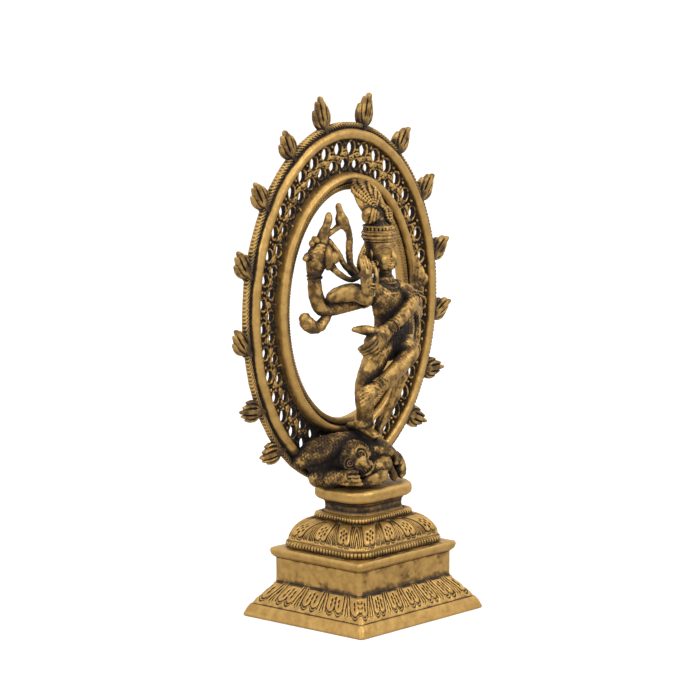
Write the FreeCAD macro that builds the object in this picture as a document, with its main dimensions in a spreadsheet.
import FreeCAD, Part
import math
import os

import Sketcher
from FreeCAD import Placement, Rotation, Vector

# A brass dancing figure inside an oval ring of flames, on a tiered pedestal.
# The row frame has +Z up, the front of the statue faces -Y, +X is to the viewer's right, and the origin is the
# centre of the pedestal's footprint. "Right" and "left" in piece names are the figure's own.
#
# The pedestal is a stack of hollow castings held by one screw from below. The ring is two half castings that
# meet at the crown, each an outer rim, a pierced frieze and an inner rim, with fourteen flames brazed round it.
# The figure and the dwarf under its foot are brazed up from separately cast limbs.

SIZES = {
    # pedestal
    "plinth_width": 70.0,
    "plinth_depth": 60.0,
    "plinth_corner": 1.2,
    "foot_height": 4.8,
    "slope_height": 8.0,
    "slope_inset": 8.8,
    "dado_height": 9.8,
    "slab_height": 3.8,
    "slab_overhang": 1.7,
    "plinth_wall": 3.0,
    "bead_height": 2.8,
    "bead_round": 1.2,
    "bead_inset": 2.2,
    "bead_corner": 8.0,
    "lotus_height": 8.0,
    "lotus_wall": 2.6,
    "lotus_top_width": 32.0,
    "lotus_top_depth": 24.6,
    "upper_corner": 5.4,
    "collar_height": 2.6,
    "neck_height": 5.2,
    "neck_width": 27.0,
    "neck_depth": 20.6,
    "seat_width": 33.6,
    "seat_depth": 25.8,
    "seat_thickness": 4.9,
    # the screw that clamps the pedestal
    "screw_radius": 2.0,
    "screw_clearance": 0.25,
    "thread_clearance": 0.05,
    "screw_head_radius": 3.6,
    "screw_head_height": 2.6,
    "washer_radius": 6.5,
    "washer_thickness": 1.2,
    "screw_grip": 6.0,
    # ring of flames
    "ring_half_width": 54.0,
    "ring_half_height": 68.3,
    "ring_front": 7.2,
    "ring_back": 12.0,
    "band_relief": 1.5,
    "inner_band_proud": 2.0,
    "margin_width": 2.6,
    "outer_band_width": 3.8,
    "frieze_side_width": 9.0,
    "frieze_top_share": 0.23776,
    "inner_band_width": 3.4,
    "inner_margin_width": 3.0,
    "frieze_setback": 2.0,
    "frieze_thickness": 2.4,
    "frieze_cells": 40,
    "frieze_hole_half_width": 1.8,
    "frieze_hole_height_share": 0.2,
    "seam_clearance": 0.05,
    "flame_length": 12.8,
    "side_flame_share": 0.86,
    "flame_half_width": 4.3,
    "flame_half_depth": 2.2,
    # figure
    "head_half_width": 4.5,
    "head_half_depth": 5.1,
    "neck_radius": 2.7,
    "chest_half_width": 8.2,
    "chest_half_depth": 4.7,
    "waist_half_width": 5.4,
    "waist_half_depth": 3.5,
    "hip_half_width": 7.6,
    "hip_half_depth": 4.4,
    "upper_arm_radius": 3.1,
    "elbow_radius": 2.8,
    "wrist_radius": 2.1,
    "palm_half_width": 2.7,
    "palm_half_depth": 1.5,
    "finger_radius": 0.8,
    "thigh_radius": 4.6,
    "knee_radius": 3.7,
    "calf_radius": 3.3,
    "ankle_radius": 2.5,
    "foot_half_width": 2.8,
    "band_proud": 0.6,
    "drum_radius": 4.5,
    "drum_waist_radius": 2.6,
    "drum_length": 12.5,
    "fan_half_width": 7.2,
    "fan_half_depth": 2.7,
    "sash_radius": 1.9,
    "side_sash_radius": 1.3,
    "serpent_radius": 2.1,
    "dwarf_radius": 7.6,
    "dwarf_head_radius": 6.4,
    "dwarf_limb_radius": 2.6,
}

# Places on the ring, in degrees from its crown, where each side's seven flames stand, the figure's right side first.
FLAME_ANGLES = {
    -1: (10.8, 31.5, 53.2, 76.2, 100.2, 121.0, 139.0),
    1: (12.8, 36.0, 58.0, 79.4, 99.0, 117.3, 134.5),
}

# The sizes at which the figure's joints below were set out; the figure follows the ring's opening from them.
NOMINAL_OPENING_HALF_WIDTH = 32.2
NOMINAL_OPENING_TOP = 159.4
NOMINAL_SEAT_TOP = 49.5
NOMINAL_RING_FRONT = 7.2
RING_CENTRE_ABOVE_SEAT = 66.9

doc = FreeCAD.newDocument("dancing_figure")
sheet = doc.addObject("Spreadsheet::Sheet", "sizes")
for row, (alias, value) in enumerate(SIZES.items(), start=1):
    sheet.set(f"A{row}", alias)
    sheet.set(f"B{row}", str(value))
    sheet.setAlias(f"B{row}", alias)
doc.recompute()

nodes = []


def size(alias):
    """The number held by one cell of the sheet."""
    return float(sheet.get(alias))


def node(label, obj):
    """Marks obj as one finished piece, whose Label names its file."""
    obj.Label = label
    nodes.append(obj)
    return obj


# ---------------------------------------------------------------- levels of the pedestal, as sheet expressions
S = "sizes."
FOOT_TOP = f"({S}foot_height)"
SLOPE_TOP = f"({FOOT_TOP} + {S}slope_height)"
DADO_TOP = f"({SLOPE_TOP} + {S}dado_height)"
SLAB_TOP = f"({DADO_TOP} + {S}slab_height)"
BEAD_TOP = f"({SLAB_TOP} + {S}bead_height)"
LOTUS_TOP = f"({BEAD_TOP} + {S}lotus_height)"
COLLAR_TOP = f"({LOTUS_TOP} + {S}collar_height)"
NECK_TOP = f"({COLLAR_TOP} + {S}neck_height)"
SEAT_TOP = f"({NECK_TOP} + {S}seat_thickness)"
HALF_W = f"({S}plinth_width / 2)"
HALF_D = f"({S}plinth_depth / 2)"
DADO_W = f"({HALF_W} - {S}slope_inset)"
DADO_D = f"({HALF_D} - {S}slope_inset)"
SLAB_W = f"({DADO_W} + {S}slab_overhang)"
SLAB_D = f"({DADO_D} + {S}slab_overhang)"

seat_top = sum(
    size(alias)
    for alias in (
        "foot_height",
        "slope_height",
        "dado_height",
        "slab_height",
        "bead_height",
        "lotus_height",
        "collar_height",
        "neck_height",
        "seat_thickness",
    )
)
slab_top = sum(size(alias) for alias in ("foot_height", "slope_height", "dado_height", "slab_height"))


# ---------------------------------------------------------------- PartDesign helpers
def plane(body, role):
    """One of a body's own origin planes."""
    return next(feature for feature in body.Origin.OriginFeatures if feature.Role == role)


def rounded_rectangle(body, name, half_x, half_y, corner, height):
    """A rounded rectangle about the Z axis; half_x, half_y, corner and height are sheet expressions."""
    sketch = body.newObject("Sketcher::SketchObject", name)
    sketch.AttachmentSupport = [(plane(body, "XY_Plane"), "")]
    sketch.MapMode = "FlatFace"
    sketch.setExpression("AttachmentOffset.Base.z", height)
    a, b, r = 20.0, 15.0, 3.0
    sides = [
        ((-a + r, -b), (a - r, -b)),
        ((a, -b + r), (a, b - r)),
        ((a - r, b), (-a + r, b)),
        ((-a, b - r), (-a, -b + r)),
    ]
    centres = [(a - r, -b + r), (a - r, b - r), (-a + r, b - r), (-a + r, -b + r)]
    up = Vector(0, 0, 1)
    for side, ((x0, y0), (x1, y1)) in enumerate(sides):
        sketch.addGeometry(Part.LineSegment(Vector(x0, y0, 0), Vector(x1, y1, 0)), False)
    for quarter, (x, y) in enumerate(centres):
        start = math.radians(-90 + 90 * quarter)
        circle = Part.Circle(Vector(x, y, 0), up, r)
        sketch.addGeometry(Part.ArcOfCircle(circle, start, start + math.pi / 2), False)
    for side in range(4):
        sketch.addConstraint(Sketcher.Constraint("Tangent", side, 2, 4 + side, 1))
        sketch.addConstraint(Sketcher.Constraint("Tangent", 4 + side, 2, (side + 1) % 4, 1))
    for quarter in range(1, 4):
        sketch.addConstraint(Sketcher.Constraint("Equal", 4, 4 + quarter))
    sketch.addConstraint(Sketcher.Constraint("Horizontal", 2))
    sketch.addConstraint(Sketcher.Constraint("Vertical", 3))
    sketch.addConstraint(Sketcher.Constraint("Symmetric", 0, 1, 0, 2, -2))
    sketch.addConstraint(Sketcher.Constraint("Symmetric", 1, 1, 1, 2, -1))
    for label, constraint, expression in (
        ("width", Sketcher.Constraint("DistanceX", 3, 1, 1, 1, 2 * a), f"2 * {half_x}"),
        ("depth", Sketcher.Constraint("DistanceY", 0, 1, 2, 1, 2 * b), f"2 * {half_y}"),
        ("corner", Sketcher.Constraint("Radius", 4, r), corner),
    ):
        index = sketch.addConstraint(constraint)
        sketch.renameConstraint(index, label)
        sketch.setExpression(f"Constraints.{label}", expression)
    return sketch


def circle_sketch(body, name, radius, height):
    """A circle about the Z axis, with its radius and height as sheet expressions."""
    sketch = body.newObject("Sketcher::SketchObject", name)
    sketch.AttachmentSupport = [(plane(body, "XY_Plane"), "")]
    sketch.MapMode = "FlatFace"
    sketch.setExpression("AttachmentOffset.Base.z", height)
    sketch.addGeometry(Part.Circle(Vector(0, 0, 0), Vector(0, 0, 1), 2.0), False)
    sketch.addConstraint(Sketcher.Constraint("Coincident", 0, 3, -1, 1))
    index = sketch.addConstraint(Sketcher.Constraint("Radius", 0, 2.0))
    sketch.renameConstraint(index, "radius")
    sketch.setExpression("Constraints.radius", radius)
    return sketch


def tiers(body, kind, levels, corner):
    """A straight-sided loft through rounded rectangles; levels holds (half_x, half_y, height) expressions."""
    sketches = [
        rounded_rectangle(body, f"{body.Name}_{kind}_{number}", half_x, half_y, corner, height)
        for number, (half_x, half_y, height) in enumerate(levels)
    ]
    loft = body.newObject(f"PartDesign::{kind}Loft", f"{body.Name}_{kind}_loft")
    loft.Profile = sketches[0]
    loft.Sections = sketches[1:]
    loft.Ruled = True
    body.Tip = loft
    return loft


def drill(body, radius, height, depth):
    """A round hole about the Z axis, upwards from height."""
    sketch = circle_sketch(body, f"{body.Name}_hole", radius, height)
    pocket = body.newObject("PartDesign::Pocket", f"{body.Name}_drilled")
    pocket.Profile = sketch
    pocket.Reversed = True
    pocket.setExpression("Length", depth)
    body.Tip = pocket
    return pocket


def new_body(name):
    """An empty PartDesign body."""
    return doc.addObject("PartDesign::Body", name)


# ---------------------------------------------------------------- pedestal
SCREW_HOLE = f"({S}screw_radius + {S}screw_clearance)"

plinth = new_body("plinth")
tiers(
    plinth,
    "Additive",
    [
        (f"({HALF_W} - 0.7)", f"({HALF_D} - 0.7)", "0"),
        (HALF_W, HALF_D, "0.9"),
        (HALF_W, HALF_D, f"({S}foot_height * 0.6)"),
        (f"({HALF_W} - 1.6)", f"({HALF_D} - 1.6)", f"({S}foot_height * 0.9)"),
        (f"({HALF_W} - 2.4)", f"({HALF_D} - 2.4)", FOOT_TOP),
        (f"({HALF_W} - 3.4)", f"({HALF_D} - 3.4)", f"({FOOT_TOP} + {S}slope_height * 0.35)"),
        (f"({DADO_W} + 2.4)", f"({DADO_D} + 2.4)", f"({FOOT_TOP} + {S}slope_height * 0.75)"),
        (DADO_W, DADO_D, SLOPE_TOP),
        (DADO_W, DADO_D, DADO_TOP),
        (SLAB_W, SLAB_D, f"({DADO_TOP} + {S}slab_height * 0.35)"),
        (SLAB_W, SLAB_D, f"({DADO_TOP} + {S}slab_height * 0.75)"),
        (f"({SLAB_W} - 0.7)", f"({SLAB_D} - 0.7)", SLAB_TOP),
    ],
    f"{S}plinth_corner",
)
WALL = f"{S}plinth_wall"
tiers(
    plinth,
    "Subtractive",
    [
        (f"({HALF_W} - 0.7 - {WALL})", f"({HALF_D} - 0.7 - {WALL})", "0"),
        (f"({HALF_W} - 2.4 - {WALL})", f"({HALF_D} - 2.4 - {WALL})", FOOT_TOP),
        (f"({DADO_W} - {WALL})", f"({DADO_D} - {WALL})", SLOPE_TOP),
        (f"({DADO_W} - {WALL})", f"({DADO_D} - {WALL})", f"({SLAB_TOP} - {WALL})"),
    ],
    f"{S}plinth_corner",
)
drill(plinth, SCREW_HOLE, f"({SLAB_TOP} - {WALL} - 1)", f"({WALL} + 2)")
node("plinth", plinth)


def bead_band(name, half_x, half_y, corner, base, height, window_x, window_y, window_corner):
    """A round-edged band with an open middle, the plain body of a notched bead moulding."""
    body = new_body(name)
    outline = rounded_rectangle(body, f"{name}_outline", half_x, half_y, corner, base)
    pad = body.newObject("PartDesign::Pad", f"{name}_pad")
    pad.Profile = outline
    pad.setExpression("Length", height)
    body.Tip = pad
    doc.recompute()
    fillet = body.newObject("PartDesign::Fillet", f"{name}_rounded")
    fillet.Base = (pad, outer_edges(pad))
    fillet.setExpression("Radius", f"{S}bead_round")
    body.Tip = fillet
    doc.recompute()
    window = rounded_rectangle(body, f"{name}_window", window_x, window_y, window_corner, f"({base} - 1)")
    pocket = body.newObject("PartDesign::Pocket", f"{name}_open")
    pocket.Profile = window
    pocket.Reversed = True
    pocket.setExpression("Length", f"({height} + 2)")
    body.Tip = pocket
    return node(name, body)


def outer_edges(pad):
    """Names of the edges round the top and bottom faces of an upright pad."""
    box = pad.Shape.BoundBox
    names = []
    for number, edge in enumerate(pad.Shape.Edges, start=1):
        low, high = edge.BoundBox.ZMin, edge.BoundBox.ZMax
        if high - low < 1e-6 and min(abs(low - box.ZMin), abs(low - box.ZMax)) < 1e-6:
            names.append(f"Edge{number}")
    return names


LOTUS_BASE_W = f"({SLAB_W} - {S}bead_inset - {S}bead_round)"
LOTUS_BASE_D = f"({SLAB_D} - {S}bead_inset - {S}bead_round)"
LOTUS_TOP_W = f"({S}lotus_top_width / 2)"
LOTUS_TOP_D = f"({S}lotus_top_depth / 2)"
LOTUS_WALL = f"{S}lotus_wall"

bead_band(
    "lower_bead_band",
    f"({SLAB_W} - {S}bead_inset)",
    f"({SLAB_D} - {S}bead_inset)",
    f"{S}bead_corner",
    SLAB_TOP,
    f"{S}bead_height",
    f"({LOTUS_BASE_W} - {LOTUS_WALL})",
    f"({LOTUS_BASE_D} - {LOTUS_WALL})",
    f"({S}bead_corner - {S}bead_round - {LOTUS_WALL})",
)


def dome_levels(wall, base, top, steps):
    """Levels of the lotus cushion's convex side, a quarter ellipse from its foot in to its top."""
    levels = []
    for step in range(steps + 1):
        angle = 90.0 * step / steps
        rise = f"{math.sin(math.radians(angle)):.4f}"
        run = f"{math.cos(math.radians(angle)):.4f}"
        half_x = f"({LOTUS_TOP_W} + ({LOTUS_BASE_W} - {LOTUS_TOP_W}) * {run} - {wall})"
        half_y = f"({LOTUS_TOP_D} + ({LOTUS_BASE_D} - {LOTUS_TOP_D}) * {run} - {wall})"
        levels.append((half_x, half_y, f"({base} + ({top} - {base}) * {rise})"))
    return levels


lotus = new_body("lotus_cushion")
tiers(lotus, "Additive", dome_levels("0", BEAD_TOP, LOTUS_TOP, 5), f"{S}upper_corner")
tiers(
    lotus,
    "Subtractive",
    dome_levels(LOTUS_WALL, BEAD_TOP, f"({LOTUS_TOP} - {LOTUS_WALL})", 3),
    f"({S}upper_corner - {LOTUS_WALL} / 2)",
)
drill(lotus, SCREW_HOLE, f"({LOTUS_TOP} - {LOTUS_WALL} - 1)", f"({LOTUS_WALL} + 2)")
node("lotus_cushion", lotus)

bead_band(
    "upper_bead_band",
    f"({LOTUS_TOP_W} + {S}bead_round / 2)",
    f"({LOTUS_TOP_D} + {S}bead_round / 2)",
    f"{S}upper_corner",
    LOTUS_TOP,
    f"{S}collar_height",
    f"({S}neck_width / 2 - {LOTUS_WALL})",
    f"({S}neck_depth / 2 - {LOTUS_WALL})",
    f"({S}upper_corner / 2)",
)

seat = new_body("seat")
NECK_W, NECK_D = f"({S}neck_width / 2)", f"({S}neck_depth / 2)"
SEAT_W, SEAT_D = f"({S}seat_width / 2)", f"({S}seat_depth / 2)"
tiers(
    seat,
    "Additive",
    [
        (f"({NECK_W} + 0.6)", f"({NECK_D} + 0.6)", COLLAR_TOP),
        (NECK_W, NECK_D, f"({COLLAR_TOP} + {S}neck_height * 0.4)"),
        (f"({NECK_W} + 0.4)", f"({NECK_D} + 0.4)", f"({COLLAR_TOP} + {S}neck_height * 0.8)"),
        (f"({SEAT_W} - 1.2)", f"({SEAT_D} - 1.2)", NECK_TOP),
        (SEAT_W, SEAT_D, f"({NECK_TOP} + {S}seat_thickness * 0.3)"),
        (SEAT_W, SEAT_D, f"({NECK_TOP} + {S}seat_thickness * 0.85)"),
        (f"({SEAT_W} - 0.7)", f"({SEAT_D} - 0.7)", SEAT_TOP),
    ],
    f"({S}upper_corner - 0.4)",
)
drill(seat, SCREW_HOLE, f"({COLLAR_TOP} - 1)", f"({S}neck_height + {S}seat_thickness + 2)")
node("seat", seat)

# ---------------------------------------------------------------- the clamping screw and its washer
PLATE_UNDERSIDE = f"({SLAB_TOP} - {WALL})"

washer = new_body("clamp_washer")
disc = circle_sketch(washer, "washer_disc", f"{S}washer_radius", f"({PLATE_UNDERSIDE} - {S}washer_thickness)")
washer_pad = washer.newObject("PartDesign::Pad", "washer_pad")
washer_pad.Profile = disc
washer_pad.setExpression("Length", f"{S}washer_thickness")
washer.Tip = washer_pad
drill(washer, SCREW_HOLE, f"({PLATE_UNDERSIDE} - {S}washer_thickness - 1)", f"({S}washer_thickness + 2)")
node("clamp_washer", washer)

screw = new_body("clamp_screw")
head = circle_sketch(
    screw,
    "screw_head",
    f"{S}screw_head_radius",
    f"({PLATE_UNDERSIDE} - {S}washer_thickness - {S}screw_head_height)",
)
head_pad = screw.newObject("PartDesign::Pad", "screw_head_pad")
head_pad.Profile = head
head_pad.setExpression("Length", f"{S}screw_head_height")
screw.Tip = head_pad
shank = circle_sketch(screw, "screw_shank", f"{S}screw_radius", f"({PLATE_UNDERSIDE} - {S}washer_thickness - 0.5)")
shank_pad = screw.newObject("PartDesign::Pad", "screw_shank_pad")
shank_pad.Profile = shank
shank_pad.setExpression(
    "Length", f"({SEAT_TOP} + {S}screw_grip - {PLATE_UNDERSIDE} + {S}washer_thickness + 0.5)"
)
screw.Tip = shank_pad
slot = screw.newObject("Sketcher::SketchObject", "screw_slot")
slot.AttachmentSupport = [(plane(screw, "XY_Plane"), "")]
slot.MapMode = "FlatFace"
slot.setExpression(
    "AttachmentOffset.Base.z", f"({PLATE_UNDERSIDE} - {S}washer_thickness - {S}screw_head_height - 1)"
)
SLOT_HALF_LENGTH, SLOT_HALF_WIDTH = 6.0, 0.45
corners = [
    Vector(x * SLOT_HALF_LENGTH, y * SLOT_HALF_WIDTH, 0) for x, y in ((-1, -1), (1, -1), (1, 1), (-1, 1), (-1, -1))
]
for start, end in zip(corners, corners[1:]):
    slot.addGeometry(Part.LineSegment(start, end), False)
for side in range(4):
    slot.addConstraint(Sketcher.Constraint("Coincident", side, 2, (side + 1) % 4, 1))
slot_cut = screw.newObject("PartDesign::Pocket", "screw_slot_cut")
slot_cut.Profile = slot
slot_cut.Reversed = True
slot_cut.setExpression("Length", f"({S}screw_head_height * 0.5 + 1)")
screw.Tip = slot_cut
node("clamp_screw", screw)
doc.recompute()

# ---------------------------------------------------------------- ring of flames: rims and friezes
NOMINAL_RING_HALF_HEIGHT = 68.3
RING_CENTRE = f"({SEAT_TOP} + {RING_CENTRE_ABOVE_SEAT} * {S}ring_half_height / {NOMINAL_RING_HALF_HEIGHT})"
ring_centre = seat_top + RING_CENTRE_ABOVE_SEAT * size("ring_half_height") / NOMINAL_RING_HALF_HEIGHT
MARGIN = f"{S}margin_width"
BAND_IN = f"({S}margin_width + {S}outer_band_width)"
EDGES = {
    "outer": (f"({S}ring_half_width)", f"({S}ring_half_height)"),
    "band": (f"({S}ring_half_width - {MARGIN})", f"({S}ring_half_height - {MARGIN})"),
    "frieze_out": (f"({S}ring_half_width - {BAND_IN})", f"({S}ring_half_height - {BAND_IN})"),
}
EDGES["frieze_in"] = (
    f"({EDGES['frieze_out'][0]} - {S}frieze_side_width)",
    f"({EDGES['frieze_out'][1]} - {S}frieze_side_width"
    f" - ({S}ring_half_height - {S}ring_half_width) * {S}frieze_top_share)",
)
EDGES["inner_band"] = tuple(f"({edge} - {S}inner_band_width)" for edge in EDGES["frieze_in"])
EDGES["opening"] = tuple(f"({edge} - {S}inner_margin_width)" for edge in EDGES["inner_band"])

margin = size("margin_width")
band_in = margin + size("outer_band_width")
frieze_out = (size("ring_half_width") - band_in, size("ring_half_height") - band_in)
frieze_top_width = (
    size("frieze_side_width") + (size("ring_half_height") - size("ring_half_width")) * size("frieze_top_share")
)
frieze_in = (frieze_out[0] - size("frieze_side_width"), frieze_out[1] - frieze_top_width)
inner_trim = size("inner_band_width") + size("inner_margin_width")
opening = (frieze_in[0] - inner_trim, frieze_in[1] - inner_trim)


def ellipse_cylinder(name, edge, front, back, grow="0"):
    """A solid elliptical cylinder about the ring's axis, between two Y places given as sheet expressions."""
    outline = doc.addObject("Part::Ellipse", f"{name}_outline")
    outline.setExpression("MajorRadius", f"({edge[1]} + {grow})")
    outline.setExpression("MinorRadius", f"({edge[0]} + {grow})")
    outline.Placement = Placement(
        Vector(0, 0, 0), Rotation(Vector(0, 0, 1), Vector(1, 0, 0), Vector(0, 1, 0), "ZXY")
    )
    outline.setExpression("Placement.Base.y", front)
    outline.setExpression("Placement.Base.z", RING_CENTRE)
    solid = doc.addObject("Part::Extrusion", name)
    solid.Base = outline
    solid.DirMode = "Normal"
    solid.setExpression("LengthFwd", f"({back} - ({front}))")
    solid.Solid = True
    return solid


def boolean(kind, name, base, tool):
    """A Part::Cut, Part::Fuse or Part::Common of two objects."""
    made = doc.addObject(f"Part::{kind}", name)
    made.Base = base
    made.Tool = tool
    return made


def half_space(name, side):
    """A box that holds everything above the seat on one side of the ring's seam; side is -1 or 1."""
    box = doc.addObject("Part::Box", name)
    reach = 400.0
    box.Length, box.Width, box.Height = reach, 2 * reach, 2 * reach
    if side < 0:
        box.setExpression("Placement.Base.x", f"(-{reach} - {S}seam_clearance / 2)")
    else:
        box.setExpression("Placement.Base.x", f"({S}seam_clearance / 2)")
    box.setExpression("Placement.Base.y", f"-{reach}")
    box.setExpression("Placement.Base.z", SEAT_TOP)
    return box


FRONT, BACK = f"({S}ring_front)", f"({S}ring_back)"
PLATE_FRONT = f"({S}ring_front + {S}band_relief)"
INNER_FRONT = f"({S}ring_front - {S}inner_band_proud)"
INNER_PLATE_FRONT = f"({INNER_FRONT} + {S}band_relief)"
FRIEZE_FRONT = f"({S}ring_front + {S}frieze_setback)"
FRIEZE_BACK = f"({FRIEZE_FRONT} + {S}frieze_thickness)"
GAP = f"{S}seam_clearance"


def rim_solid(name, plate_out, plate_in, band_out, band_in_edge, front, plate_front, side):
    """Half of a rim: a flat oval strip with a raised band on its front face."""
    plate_outer = ellipse_cylinder(f"{name}_plate_outer", EDGES[plate_out], plate_front, BACK)
    plate_hole = ellipse_cylinder(f"{name}_plate_hole", EDGES[plate_in], f"({plate_front} - 1)", f"({BACK} + 1)")
    plate = boolean("Cut", f"{name}_plate", plate_outer, plate_hole)
    raised_outer = ellipse_cylinder(f"{name}_raised_outer", EDGES[band_out], front, f"({plate_front} + 0.2)")
    raised_hole = ellipse_cylinder(f"{name}_raised_hole", EDGES[band_in_edge], f"({front} - 1)", f"({BACK} + 1)")
    raised = boolean("Cut", f"{name}_raised", raised_outer, raised_hole)
    whole = boolean("Fuse", f"{name}_whole", plate, raised)
    return node(name, boolean("Common", name, whole, half_space(f"{name}_side", side)))


def oval_wire(centre, axis, half_a, half_b, across):
    """An ellipse about centre in the plane square to axis; half_a lies along across."""
    normal = Vector(axis).normalize()
    along = across - normal * across.dot(normal)
    if along.Length < 1e-6:
        along = normal.cross(Vector(0, 0, 1))
    along.normalize()
    if abs(half_a - half_b) < 1e-6:
        edge = Part.Circle(centre, normal, half_a).toShape()
    elif half_a > half_b:
        edge = Part.Ellipse(centre + along * half_a, centre + normal.cross(along) * half_b, centre).toShape()
    else:
        side = normal.cross(along)
        edge = Part.Ellipse(centre + side * half_b, centre - along * half_a, centre).toShape()
    return Part.Wire([edge])


def frieze_holes(name, side):
    """Two rows of round-ended openings, the inner row half a cell behind the outer one."""
    cells = int(size("frieze_cells"))
    half_cells = cells // 2
    middle = tuple((out + inside) / 2 for out, inside in zip(frieze_out, frieze_in))
    rows = (
        (tuple((out + mid) / 2 for out, mid in zip(frieze_out, middle)), 0.5),
        (tuple((inside + mid) / 2 for inside, mid in zip(frieze_in, middle)), 1.0),
    )
    tools = []
    for (half_x, half_z), phase in rows:
        for cell in range(half_cells if phase < 1 else half_cells - 1):
            angle = 2 * math.pi * (cell + phase) / cells
            centre = Vector(
                side * half_x * math.sin(angle),
                size("ring_front") - 2,
                ring_centre + half_z * math.cos(angle),
            )
            out = Vector(side * math.sin(angle) / half_x, 0, math.cos(angle) / half_z).normalize()
            share = abs(math.cos(angle))
            width = size("frieze_side_width") * (1 - share) + frieze_top_width * share
            tall, wide = width * size("frieze_hole_height_share"), size("frieze_hole_half_width")
            if centre.z - tall > seat_top + 4:
                outline = oval_wire(centre, Vector(0, 1, 0), tall, wide, out)
                tools.append(Part.Face(outline).extrude(Vector(0, 12, 0)))
    holes = doc.addObject("Part::Feature", name)
    holes.Shape = Part.makeCompound(tools)
    return holes


def frieze_solid(name, side):
    """Half of the pierced frieze between the two rims, set back from their bands."""
    outer = ellipse_cylinder(f"{name}_outer", EDGES["frieze_out"], FRIEZE_FRONT, FRIEZE_BACK, f"(-{GAP})")
    hole = ellipse_cylinder(f"{name}_hole", EDGES["frieze_in"], f"({FRIEZE_FRONT} - 1)", f"({FRIEZE_BACK} + 1)", GAP)
    strip = boolean("Cut", f"{name}_strip", outer, hole)
    half = boolean("Common", f"{name}_half", strip, half_space(f"{name}_side", side))
    return node(name, boolean("Cut", name, half, frieze_holes(f"{name}_openings", side)))


rims = {}
for word, side in (("right", -1), ("left", 1)):
    rims[word] = rim_solid(
        f"outer_rim_{word}", "outer", "frieze_out", "band", "frieze_out", FRONT, PLATE_FRONT, side
    )
    frieze_solid(f"frieze_{word}", side)
    rim_solid(
        f"inner_rim_{word}", "frieze_in", "opening", "frieze_in", "inner_band", INNER_FRONT, INNER_PLATE_FRONT, side
    )
doc.recompute()


# ---------------------------------------------------------------- free-form pieces
def skin(stations, across=Vector(1, 0, 0), level=False):
    """A smooth solid through oval stations of (point, half_a, half_b); level keeps every station horizontal."""
    points = [station[0] for station in stations]
    wires = []
    for number, (point, half_a, half_b) in enumerate(stations):
        before = points[max(number - 1, 0)]
        after = points[min(number + 1, len(points) - 1)]
        axis = Vector(0, 0, 1) if level else after - before
        wires.append(oval_wire(point, axis, half_a, half_b, across))
    solid = Part.makeLoft(wires, True, False)
    return solid if solid.Volume > 0 else solid.reversed()


def capsule(stations, across=Vector(1, 0, 0)):
    """A limb through (point, half_a, half_b) stations, with a rounded cap past each end."""
    first, second = stations[0], stations[1]
    last, previous = stations[-1], stations[-2]
    out = (first[0] - second[0]).normalize()
    on = (last[0] - previous[0]).normalize()
    start = min(first[1:])
    end = min(last[1:])
    capped = [(first[0] + out * start * 0.75, first[1] * 0.55, first[2] * 0.55)]
    capped += stations
    capped.append((last[0] + on * end * 0.75, last[1] * 0.55, last[2] * 0.55))
    return skin(capped, across)


def biggest(shape):
    """The largest solid of a shape, so that a cut leaves no chips."""
    return max(shape.Solids, key=lambda solid: solid.Volume)


placed = []


def clear_of_placed(shape):
    """A shape without the space that earlier pieces already hold."""
    for other in placed:
        if shape.BoundBox.intersect(other.Shape.BoundBox):
            shape = shape.cut(other.Shape)
    return shape


def free_form(label, shape, keep=True):
    """Puts a shape in the document as one piece, cut back where an earlier piece already holds the space."""
    piece = doc.addObject("Part::Feature", label)
    piece.Shape = biggest(clear_of_placed(shape))
    if keep:
        placed.append(piece)
    return node(label, piece)


# The figure's places are set out in millimetres for the nominal ring and follow the real one.
scale_x = opening[0] / NOMINAL_OPENING_HALF_WIDTH
scale_z = (ring_centre + opening[1] - seat_top) / (NOMINAL_OPENING_TOP - NOMINAL_SEAT_TOP)
scale_r = math.sqrt(scale_x * scale_z)


def at(x, y, z):
    """A place on the figure, moved with the ring's front face and opening and with the seat."""
    return Vector(
        x * scale_x,
        size("ring_front") - (NOMINAL_RING_FRONT - y) * scale_x,
        seat_top + (z - NOMINAL_SEAT_TOP) * scale_z,
    )


def r(alias, share=1.0):
    """A named radius or half size of the figure, as large as the ring makes the figure."""
    return size(alias) * share * scale_r


def round_station(x, y, z, alias, share=1.0):
    """A station of a limb with a round section."""
    return (at(x, y, z), r(alias, share), r(alias, share))


def flame(number, side, angle_degrees, share):
    """One tongue of flame, rising square to the ring's outer edge from its back half."""
    angle = math.radians(angle_degrees)
    half_x, half_z = size("ring_half_width"), size("ring_half_height")
    out = Vector(side * math.sin(angle) / half_x, 0, math.cos(angle) / half_z).normalize()
    across = Vector(out.z, 0, -out.x)
    root = Vector(side * half_x * math.sin(angle), size("ring_back") - 1, ring_centre + half_z * math.cos(angle))
    length, wide, deep = size("flame_length") * share, size("flame_half_width"), size("flame_half_depth")
    profile = (
        (-0.14, 0.62, 0.72),
        (0.1, 0.72, 0.9),
        (0.36, 1.0, 1.0),
        (0.62, 0.9, 0.9),
        (0.84, 0.56, 0.7),
        (1.0, 0.2, 0.3),
    )
    stations = [(root + out * length * rise, wide * a, deep * b) for rise, a, b in profile]
    piece = doc.addObject("Part::Feature", f"flame_{number:02d}")
    rim = rims["right" if side < 0 else "left"]
    piece.Shape = biggest(skin(stations, across).cut(rim.Shape))
    return node(f"flame_{number:02d}", piece)


# Numbered clockwise, seen from the front, from the lowest flame on the figure's right.
for side, angles in FLAME_ANGLES.items():
    for place, angle in enumerate(angles):
        number = len(angles) - place if side < 0 else len(angles) + 1 + place
        flame(number, side, angle, 1.0 if place == 0 else size("side_flame_share"))

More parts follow.
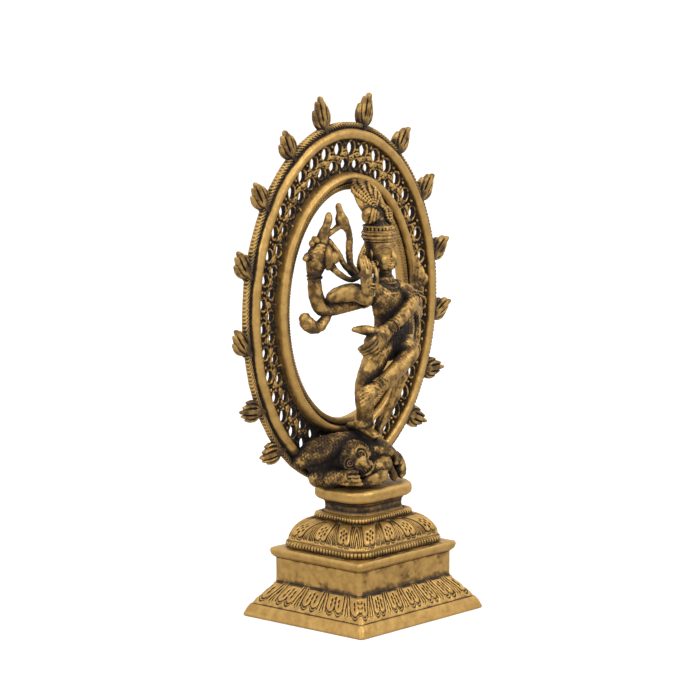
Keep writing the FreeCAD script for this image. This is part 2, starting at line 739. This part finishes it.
# ---------------------------------------------------------------- the dwarf
LYING = Vector(0, 0, 1)
dwarf_body = skin(
    [
        (at(-13, -0.5, 58), r("dwarf_radius", 0.5), r("dwarf_radius", 0.5)),
        (at(-9, -0.8, 58.8), r("dwarf_radius", 1.0), r("dwarf_radius", 0.85)),
        (at(-2, -1, 59.4), r("dwarf_radius", 1.12), r("dwarf_radius", 0.9)),
        (at(6, -1, 58), r("dwarf_radius", 0.95), r("dwarf_radius", 0.85)),
        (at(11, -1, 57), r("dwarf_radius", 0.8), r("dwarf_radius", 0.75)),
        (at(15, -0.5, 56), r("dwarf_radius", 0.4), r("dwarf_radius", 0.4)),
    ],
    LYING,
)
REACH = 400.0
below_seat = Part.makeBox(REACH, REACH, REACH, Vector(-REACH / 2, -REACH / 2, seat_top - REACH))
screw_bore = Part.makeCylinder(
    size("screw_radius") + size("thread_clearance"), size("screw_grip") + 2, Vector(0, 0, seat_top - 1)
)
ring_zone = Part.makeBox(
    REACH, REACH, REACH, Vector(-REACH / 2, size("ring_front") - size("inner_band_proud") - 0.05, 0)
)
dwarf = free_form("dwarf_body", biggest(dwarf_body.cut(below_seat).cut(screw_bore).cut(ring_zone)))

dwarf_head_shape = capsule(
    [
        (at(-15.2, -4.5, 62.5), r("dwarf_head_radius", 0.8), r("dwarf_head_radius", 0.85)),
        (at(-12.5, -7.6, 61), r("dwarf_head_radius"), r("dwarf_head_radius")),
        (at(-9.6, -10.6, 59), r("dwarf_head_radius", 0.62), r("dwarf_head_radius", 0.7)),
    ],
    LYING,
)
dwarf_head = free_form("dwarf_head", dwarf_head_shape.cut(below_seat).cut(ring_zone))


def dwarf_limb(label, *stations):
    """One of the dwarf's arms or legs, lying on the seat."""
    shape = capsule([round_station(*station) for station in stations])
    return free_form(label, shape.cut(below_seat).cut(ring_zone))


dwarf_limb(
    "dwarf_right_arm",
    (-12, 2.5, 54, "dwarf_limb_radius"),
    (-15, -3.0, 53, "dwarf_limb_radius", 0.9),
    (-12.5, -8.0, 52.2, "dwarf_limb_radius", 0.8),
    (-7.5, -11.0, 51.4, "dwarf_limb_radius", 0.7),
)
dwarf_limb(
    "dwarf_left_arm",
    (4.5, -7.0, 61, "dwarf_limb_radius"),
    (0, -10.0, 57, "dwarf_limb_radius", 0.9),
    (-3.5, -11.4, 52.2, "dwarf_limb_radius", 0.8),
)
dwarf_limb(
    "dwarf_right_leg",
    (8.0, -6.0, 56, "dwarf_limb_radius", 1.2),
    (11.5, -9.5, 58, "dwarf_limb_radius", 1.1),
    (8.5, -11.2, 52.6, "dwarf_limb_radius", 0.9),
    (4.5, -11.6, 51.2, "dwarf_limb_radius", 0.7),
)
dwarf_limb(
    "dwarf_left_leg",
    (12.5, 0.0, 54, "dwarf_limb_radius", 1.2),
    (15.0, -4.5, 57, "dwarf_limb_radius", 1.0),
    (13.5, -7.5, 51.8, "dwarf_limb_radius", 0.8),
)

# ---------------------------------------------------------------- the dancing figure
torso = free_form(
    "torso",
    skin(
        [
            (at(5, -8.2, 99.5), r("hip_half_width", 0.7), r("hip_half_depth", 0.8)),
            (at(5, -8.3, 103), r("hip_half_width"), r("hip_half_depth")),
            (at(4.5, -8.0, 107), r("hip_half_width", 0.86), r("hip_half_depth", 0.92)),
            (at(3.9, -7.7, 111.5), r("waist_half_width"), r("waist_half_depth")),
            (at(4, -7.9, 116), r("chest_half_width", 0.8), r("chest_half_depth", 0.92)),
            (at(4.3, -8, 120.5), r("chest_half_width"), r("chest_half_depth")),
            (at(4.3, -7.6, 124), r("chest_half_width", 0.95), r("chest_half_depth", 0.8)),
            (at(4.3, -7.3, 126.3), r("chest_half_width", 0.5), r("chest_half_depth", 0.66)),
            (at(4.2, -7.2, 128), r("neck_radius"), r("neck_radius")),
            (at(4.1, -7.0, 130.5), r("neck_radius"), r("neck_radius")),
        ],
        level=True,
    ),
)
head = free_form(
    "head",
    skin(
        [
            (at(4, -9.0, 129.3), r("head_half_width", 0.42), r("head_half_depth", 0.45)),
            (at(4, -7.9, 131.2), r("head_half_width", 0.8), r("head_half_depth", 0.82)),
            (at(4, -7.0, 134.5), r("head_half_width", 0.98), r("head_half_depth", 1.0)),
            (at(4, -6.6, 138.5), r("head_half_width", 1.04), r("head_half_depth", 1.06)),
            (at(4, -6.4, 142.0), r("head_half_width", 1.0), r("head_half_depth", 1.0)),
        ],
        level=True,
    ),
)
crown = free_form(
    "crown",
    skin(
        [
            (at(4, -6.4, 140.2), r("head_half_width", 1.16), r("head_half_depth", 1.14)),
            (at(4, -6.2, 142.6), r("head_half_width", 1.16), r("head_half_depth", 1.14)),
            (at(3.8, -5.9, 145.0), r("head_half_width", 1.0), r("head_half_depth", 1.0)),
            (at(3.5, -5.3, 147.2), r("head_half_width", 0.66), r("head_half_depth", 0.66)),
        ],
        level=True,
    ),
)
free_form(
    "headdress_fan",
    skin(
        [
            (at(3.4, -5.0, 145.6), r("fan_half_width", 0.4), r("fan_half_depth", 0.9)),
            (at(3.0, -3.8, 149), r("fan_half_width", 0.78), r("fan_half_depth", 1.0)),
            (at(2.3, -1.6, 153.5), r("fan_half_width", 1.0), r("fan_half_depth", 1.05)),
            (at(1.6, 0.6, 157.5), r("fan_half_width", 0.94), r("fan_half_depth", 1.0)),
            (at(1.0, 2.2, 160.5), r("fan_half_width", 0.76), r("fan_half_depth", 0.95)),
            (at(0.6, 3.0, 162.6), r("fan_half_width", 0.46), r("fan_half_depth", 0.7)),
        ],
        level=True,
    ).cut(ring_zone),
)

HEAD_CENTRE = 4.0
HAIR_PLACES = (
    (-2.0, -3.6, 141.0, 1.8, 1.6),
    (-4.2, -3.0, 138.5, 3.4, 2.0),
    (-6.2, -2.4, 134.5, 4.6, 2.2),
    (-6.4, -2.2, 130.0, 4.2, 2.1),
    (-4.8, -3.0, 126.0, 2.6, 1.7),
)
for word, mirror in (("right", 1), ("left", -1)):
    # Curled locks spread behind each ear, from the crown down to the shoulder.
    locks = [
        (at(HEAD_CENTRE + mirror * (x - HEAD_CENTRE), y, z), half_a * scale_r, half_b * scale_r)
        for x, y, z, half_a, half_b in HAIR_PLACES
    ]
    free_form(f"hair_wing_{word}", skin(locks, level=True))


def hand(root, tip, spread, thumb=None):
    """A mitten hand from root to tip, spread across the given direction, with a thumb if one is given."""
    along = tip - root
    profile = ((0.3, 1.0, 1.0), (0.62, 0.95, 0.9), (0.9, 0.7, 0.65), (1.0, 0.4, 0.4))
    stations = [(root, r("wrist_radius"), r("wrist_radius", 0.85))]
    for share, wide, deep in profile:
        stations.append((root + along * share, r("palm_half_width", wide), r("palm_half_depth", deep)))
    shape = skin(stations, spread)
    if thumb is None:
        return shape
    start = root + along * 0.22
    digit = capsule(
        [
            (start, r("finger_radius", 1.5), r("finger_radius", 1.5)),
            ((start + thumb) / 2, r("finger_radius", 1.3), r("finger_radius", 1.3)),
            (thumb, r("finger_radius"), r("finger_radius")),
        ]
    )
    return shape.fuse(digit)


def limb_with_hand(label, stations, palm):
    """An arm cast in one with its hand, in front of the ring."""
    arm = capsule([round_station(*station) for station in stations])
    return free_form(label, biggest(arm.fuse(palm)).cut(ring_zone))


FACING = Vector(1, 0, 0)

limb_with_hand(
    "front_right_arm",
    [
        (-1.5, -8.0, 122.8, "upper_arm_radius"),
        (-7.5, -7.6, 121.2, "upper_arm_radius", 1.0),
        (-12.6, -8.4, 120.2, "elbow_radius", 1.05),
        (-12.2, -10.6, 121.8, "elbow_radius", 1.0),
        (-10.2, -11.8, 127.0, "wrist_radius", 1.05),
    ],
    hand(at(-10.2, -11.6, 127.0), at(-10.0, -9.6, 137.2), FACING, at(-5.8, -11.6, 131.5)),
)
limb_with_hand(
    "front_left_arm",
    [
        (10.2, -8.4, 122.8, "upper_arm_radius"),
        (13.4, -10.6, 121.0, "upper_arm_radius"),
        (12.8, -13.2, 117.6, "elbow_radius", 1.05),
        (6.2, -14.2, 113.6, "elbow_radius", 0.95),
        (-0.5, -13.8, 109.8, "wrist_radius"),
    ],
    hand(at(-0.5, -13.6, 109.8), at(-14.4, -8.4, 101.2), Vector(0.5, 0.2, 0.9), at(-13.4, -7.6, 109.6)),
)
rear_right_hand = hand(at(-25, 2.4, 130.6), at(-22.5, 0.2, 143.0), FACING)
FINGERS = ((-23.5, 0.3, 141, -21.2, -1.8, 153.4), (-21.5, -1.4, 142, -19.6, -4.6, 157.0))
for x, y, z, top_x, top_y, top_z in FINGERS:
    middle = at((x + top_x) / 2, (y + top_y) / 2, (z + top_z) / 2)
    finger = capsule(
        [
            (at(x, y, z), r("finger_radius", 1.7), r("finger_radius", 1.7)),
            (middle, r("finger_radius", 1.6), r("finger_radius", 1.6)),
            (at(top_x, top_y, top_z), r("finger_radius", 1.2), r("finger_radius", 1.2)),
        ]
    )
    rear_right_hand = rear_right_hand.fuse(finger)
limb_with_hand(
    "rear_right_arm",
    [
        (-1.5, -4.6, 121.6, "upper_arm_radius", 1.1),
        (-10.0, -1.8, 119.4, "upper_arm_radius", 1.15),
        (-18.5, 1.0, 117.8, "elbow_radius", 1.15),
        (-22.6, 1.9, 121.8, "elbow_radius", 1.0),
        (-25.0, 2.4, 130.6, "wrist_radius", 1.15),
    ],
    rear_right_hand,
)
limb_with_hand(
    "rear_left_arm",
    [
        (9.5, -5.4, 121.0, "upper_arm_radius"),
        (16.5, -5.6, 116.4, "upper_arm_radius", 0.9),
        (23.6, -5.0, 111.2, "elbow_radius", 0.9),
        (27.4, -2.6, 112.4, "elbow_radius", 0.85),
        (30.6, -0.2, 117.0, "wrist_radius"),
    ],
    hand(at(30.6, -0.2, 117), at(32.4, 0.8, 126.0), FACING),
)
free_form(
    "hand_flame",
    skin(
        [
            (at(32.0, 0.8, 122.0), r("palm_half_width", 0.9), r("palm_half_depth", 1.2)),
            (at(32.4, 1.2, 125.0), r("palm_half_width", 1.2), r("palm_half_depth", 1.3)),
            (at(32.6, 1.6, 128.0), r("palm_half_width", 0.95), r("palm_half_depth", 1.0)),
            (at(32.6, 1.8, 131.2), r("palm_half_width", 0.25), r("palm_half_depth", 0.4)),
        ],
        level=True,
    ).cut(ring_zone),
)

DRUM_AXIS = Vector(0.66, -0.75, 0)
drum_centre = at(-24.2, 0.0, 137.4)
DRUM_PROFILE = (
    (-0.5, "drum_radius", 0.8),
    (-0.44, "drum_radius", 1.0),
    (-0.28, "drum_radius", 0.95),
    (0.0, "drum_waist_radius", 1.0),
    (0.28, "drum_radius", 0.9),
    (0.44, "drum_radius", 0.95),
    (0.5, "drum_radius", 0.75),
)
free_form(
    "drum",
    skin(
        [
            (drum_centre + DRUM_AXIS * size("drum_length") * share * scale_r, r(alias, wide), r(alias, wide))
            for share, alias, wide in DRUM_PROFILE
        ]
    ).cut(ring_zone),
)

standing_foot = skin(
    [
        (at(-3, 4.4, 71.4), r("foot_half_width", 0.6), r("foot_half_width", 0.7)),
        (at(-3, 2.4, 71.6), r("foot_half_width", 0.95), r("foot_half_width", 1.0)),
        (at(-3, -1.6, 71.8), r("foot_half_width"), r("foot_half_width", 1.1)),
        (at(-3.3, -5.6, 70.2), r("foot_half_width", 1.15), r("foot_half_width", 0.75)),
        (at(-3.6, -8.6, 69.2), r("foot_half_width", 0.9), r("foot_half_width", 0.42)),
    ],
    FACING,
)
standing_heel = skin(
    [
        (at(-2.8, -2.8, 76.6), r("ankle_radius"), r("ankle_radius")),
        (at(-2.9, -2.2, 73.0), r("ankle_radius", 1.05), r("ankle_radius", 1.2)),
        (at(-3.0, -1.6, 70.4), r("ankle_radius", 1.05), r("ankle_radius", 1.3)),
    ],
    level=True,
)
standing_limb = capsule(
    [
        round_station(1.0, -8.4, 102.5, "thigh_radius"),
        round_station(-3.5, -7.8, 95.5, "thigh_radius", 0.95),
        round_station(-6.6, -6.6, 88.5, "knee_radius"),
        round_station(-4.8, -4.8, 82.0, "calf_radius"),
        round_station(-2.8, -3.2, 75.6, "ankle_radius"),
    ]
)
free_form("right_leg", biggest(standing_limb.fuse(standing_foot).fuse(standing_heel).cut(ring_zone)))

raised_limb = capsule(
    [
        round_station(7.6, -8.4, 102.5, "thigh_radius"),
        round_station(9.4, -11.6, 101.6, "thigh_radius", 0.9),
        round_station(9.6, -14.6, 99.6, "knee_radius", 0.98),
        round_station(4.6, -15.4, 96.2, "calf_radius", 1.0),
        round_station(-2.6, -14.8, 91.4, "calf_radius", 0.88),
        round_station(-8.6, -13.8, 88.0, "ankle_radius", 0.9),
    ]
)
raised_foot = skin(
    [
        (at(-7.2, -14.0, 89.2), r("foot_half_width", 0.8), r("foot_half_width", 0.8)),
        (at(-10.2, -13.4, 87.4), r("foot_half_width", 0.95), r("foot_half_width", 0.85)),
        (at(-13.6, -12.4, 85.4), r("foot_half_width", 1.1), r("foot_half_width", 0.65)),
        (at(-16.2, -11.4, 84.0), r("foot_half_width", 0.8), r("foot_half_width", 0.4)),
    ],
    Vector(0.5, 0, -0.8),
)
free_form("left_leg", biggest(raised_limb.fuse(raised_foot)))

free_form(
    "hanging_sash",
    capsule(
        [
            round_station(8.2, -11.6, 95.0, "sash_radius", 0.8),
            round_station(8.0, -11.8, 89.2, "sash_radius"),
            round_station(5.4, -9.2, 80.0, "sash_radius", 1.05),
            round_station(2.4, -6.0, 71.0, "sash_radius", 1.15),
            round_station(1.4, -5.2, 67.4, "sash_radius", 1.2),
        ]
    ),
)
free_form(
    "waist_sash_fan",
    skin(
        [
            (at(8.0, -8.0, 107.4), 1.6 * scale_r, 1.4 * scale_r),
            (at(11.6, -8.0, 108.8), 3.4 * scale_r, 1.3 * scale_r),
            (at(15.2, -7.8, 110.2), 4.8 * scale_r, 1.2 * scale_r),
            (at(18.2, -7.4, 111.4), 4.6 * scale_r, 1.0 * scale_r),
        ],
        Vector(0.4, 0, -0.9),
    ),
)
free_form(
    "side_sash",
    capsule(
        [
            round_station(23.4, -6.2, 111.6, "side_sash_radius"),
            round_station(22.4, -7.6, 106.0, "side_sash_radius"),
            round_station(18.6, -10.0, 101.6, "side_sash_radius", 1.05),
            round_station(11.6, -13.4, 99.4, "side_sash_radius", 1.1),
        ]
    ),
)
free_form(
    "arm_serpent",
    capsule(
        [
            round_station(-19.0, 0.0, 116.4, "serpent_radius", 0.9),
            round_station(-21.6, 0.0, 112.8, "serpent_radius"),
            round_station(-24.6, 0.8, 110.6, "serpent_radius", 1.1),
            round_station(-27.6, 1.6, 111.2, "serpent_radius", 1.2),
            round_station(-29.0, 2.2, 114.0, "serpent_radius", 1.05),
        ]
    ).cut(ring_zone),
)

# ---------------------------------------------------------------- dress: bands that sit on the limbs


def band(label, places):
    """A set of rings round the limbs, each from two (x, y, z) places and a radius with its share."""
    shapes = []
    for (x0, y0, z0), (x1, y1, z1), alias, share in places:
        radius = r(alias, share) + size("band_proud") * scale_r
        start, end = at(x0, y0, z0), at(x1, y1, z1)
        # A cut that only grazes a limb can fail, so the ring is then tried a little wider and farther along.
        for extra, share_on in ((0, 0), (0.03, 0), (0.06, 0.05), (0.1, -0.08), (0.15, 0.12), (0.25, -0.15), (0.35, 0.2)):
            begin = start + (end - start) * share_on
            whole = Part.makeCylinder(radius + extra * scale_r, (end - start).Length, begin, end - start)
            ring = clear_of_placed(whole.cut(ring_zone))
            solids = [solid for solid in ring.Solids if solid.Volume > 0.5]
            if solids and Part.makeCompound(solids).isValid():
                break
        shapes += solids
    piece = doc.addObject("Part::Feature", label)
    piece.Shape = shapes[0] if len(shapes) == 1 else Part.makeCompound(shapes)
    placed.append(piece)
    return node(label, piece)


band(
    "bracelets",
    [
        ((-10.3, -11.7, 126.2), (-10.0, -11.8, 127.8), "wrist_radius", 1.1),
        ((1.2, -13.9, 110.8), (-0.4, -13.8, 109.9), "wrist_radius", 1.1),
        ((-24.7, 2.3, 129.2), (-25.1, 2.4, 131.0), "wrist_radius", 1.25),
        ((30.0, -0.8, 116.0), (30.9, 0.1, 117.4), "wrist_radius", 1.05),
    ],
)
band(
    "armlets",
    [
        ((-8.2, -7.6, 121.0), (-9.8, -7.9, 120.7), "upper_arm_radius", 1.02),
        ((13.6, -11.2, 120.4), (13.5, -12.2, 119.2), "upper_arm_radius", 0.98),
        ((-11.4, -1.4, 119.1), (-13.0, -0.9, 118.8), "upper_arm_radius", 1.15),
        ((18.0, -5.5, 115.3), (19.4, -5.4, 114.3), "upper_arm_radius", 0.9),
    ],
)
band(
    "anklets",
    [
        ((-3.1, -3.5, 76.8), (-2.8, -3.1, 75.2), "ankle_radius", 1.05),
        ((-6.0, -14.2, 89.5), (-7.6, -13.9, 88.6), "ankle_radius", 1.05),
    ],
)
band("waist_belt", [((4.6, -8.0, 105.6), (4.4, -7.9, 107.8), "hip_half_width", 0.9)])
band("necklace", [((4.2, -7.5, 125.2), (4.2, -8.2, 126.6), "neck_radius", 1.55)])

EAR_HALF_SPAN = 5.2
pendants = []
for mirror in (-1, 1):
    drop = skin(
        [
            (at(HEAD_CENTRE + mirror * EAR_HALF_SPAN, -7.0, z), half * scale_r, half * scale_r)
            for z, half in ((130.6, 0.6), (131.4, 1.3), (132.6, 1.5), (133.8, 1.2), (134.6, 0.6))
        ],
        level=True,
    )
    pendants.append(biggest(clear_of_placed(drop)))
ear_pendants = doc.addObject("Part::Feature", "ear_pendants")
ear_pendants.Shape = Part.makeCompound(pendants)
node("ear_pendants", ear_pendants)

doc.recompute()

# ---------------------------------------------------------------- checks, then one STEP file for each piece
for obj in doc.Objects:
    bad = {"Invalid", "Error"} & set(obj.State)
    if bad:
        raise RuntimeError(f"{obj.Name} failed: {sorted(bad)}")
for piece in nodes:
    if piece.Shape.isNull() or not piece.Shape.isValid() or not piece.Shape.Solids:
        raise RuntimeError(f"{piece.Label} is not a valid solid")

os.makedirs("parts", exist_ok=True)
for piece in nodes:
    piece.Shape.exportStep(os.path.join("parts", f"{piece.Label}.step"))
    print(f"{piece.Label:18s} solids {len(piece.Shape.Solids):2d} volume {piece.Shape.Volume:9.1f}")
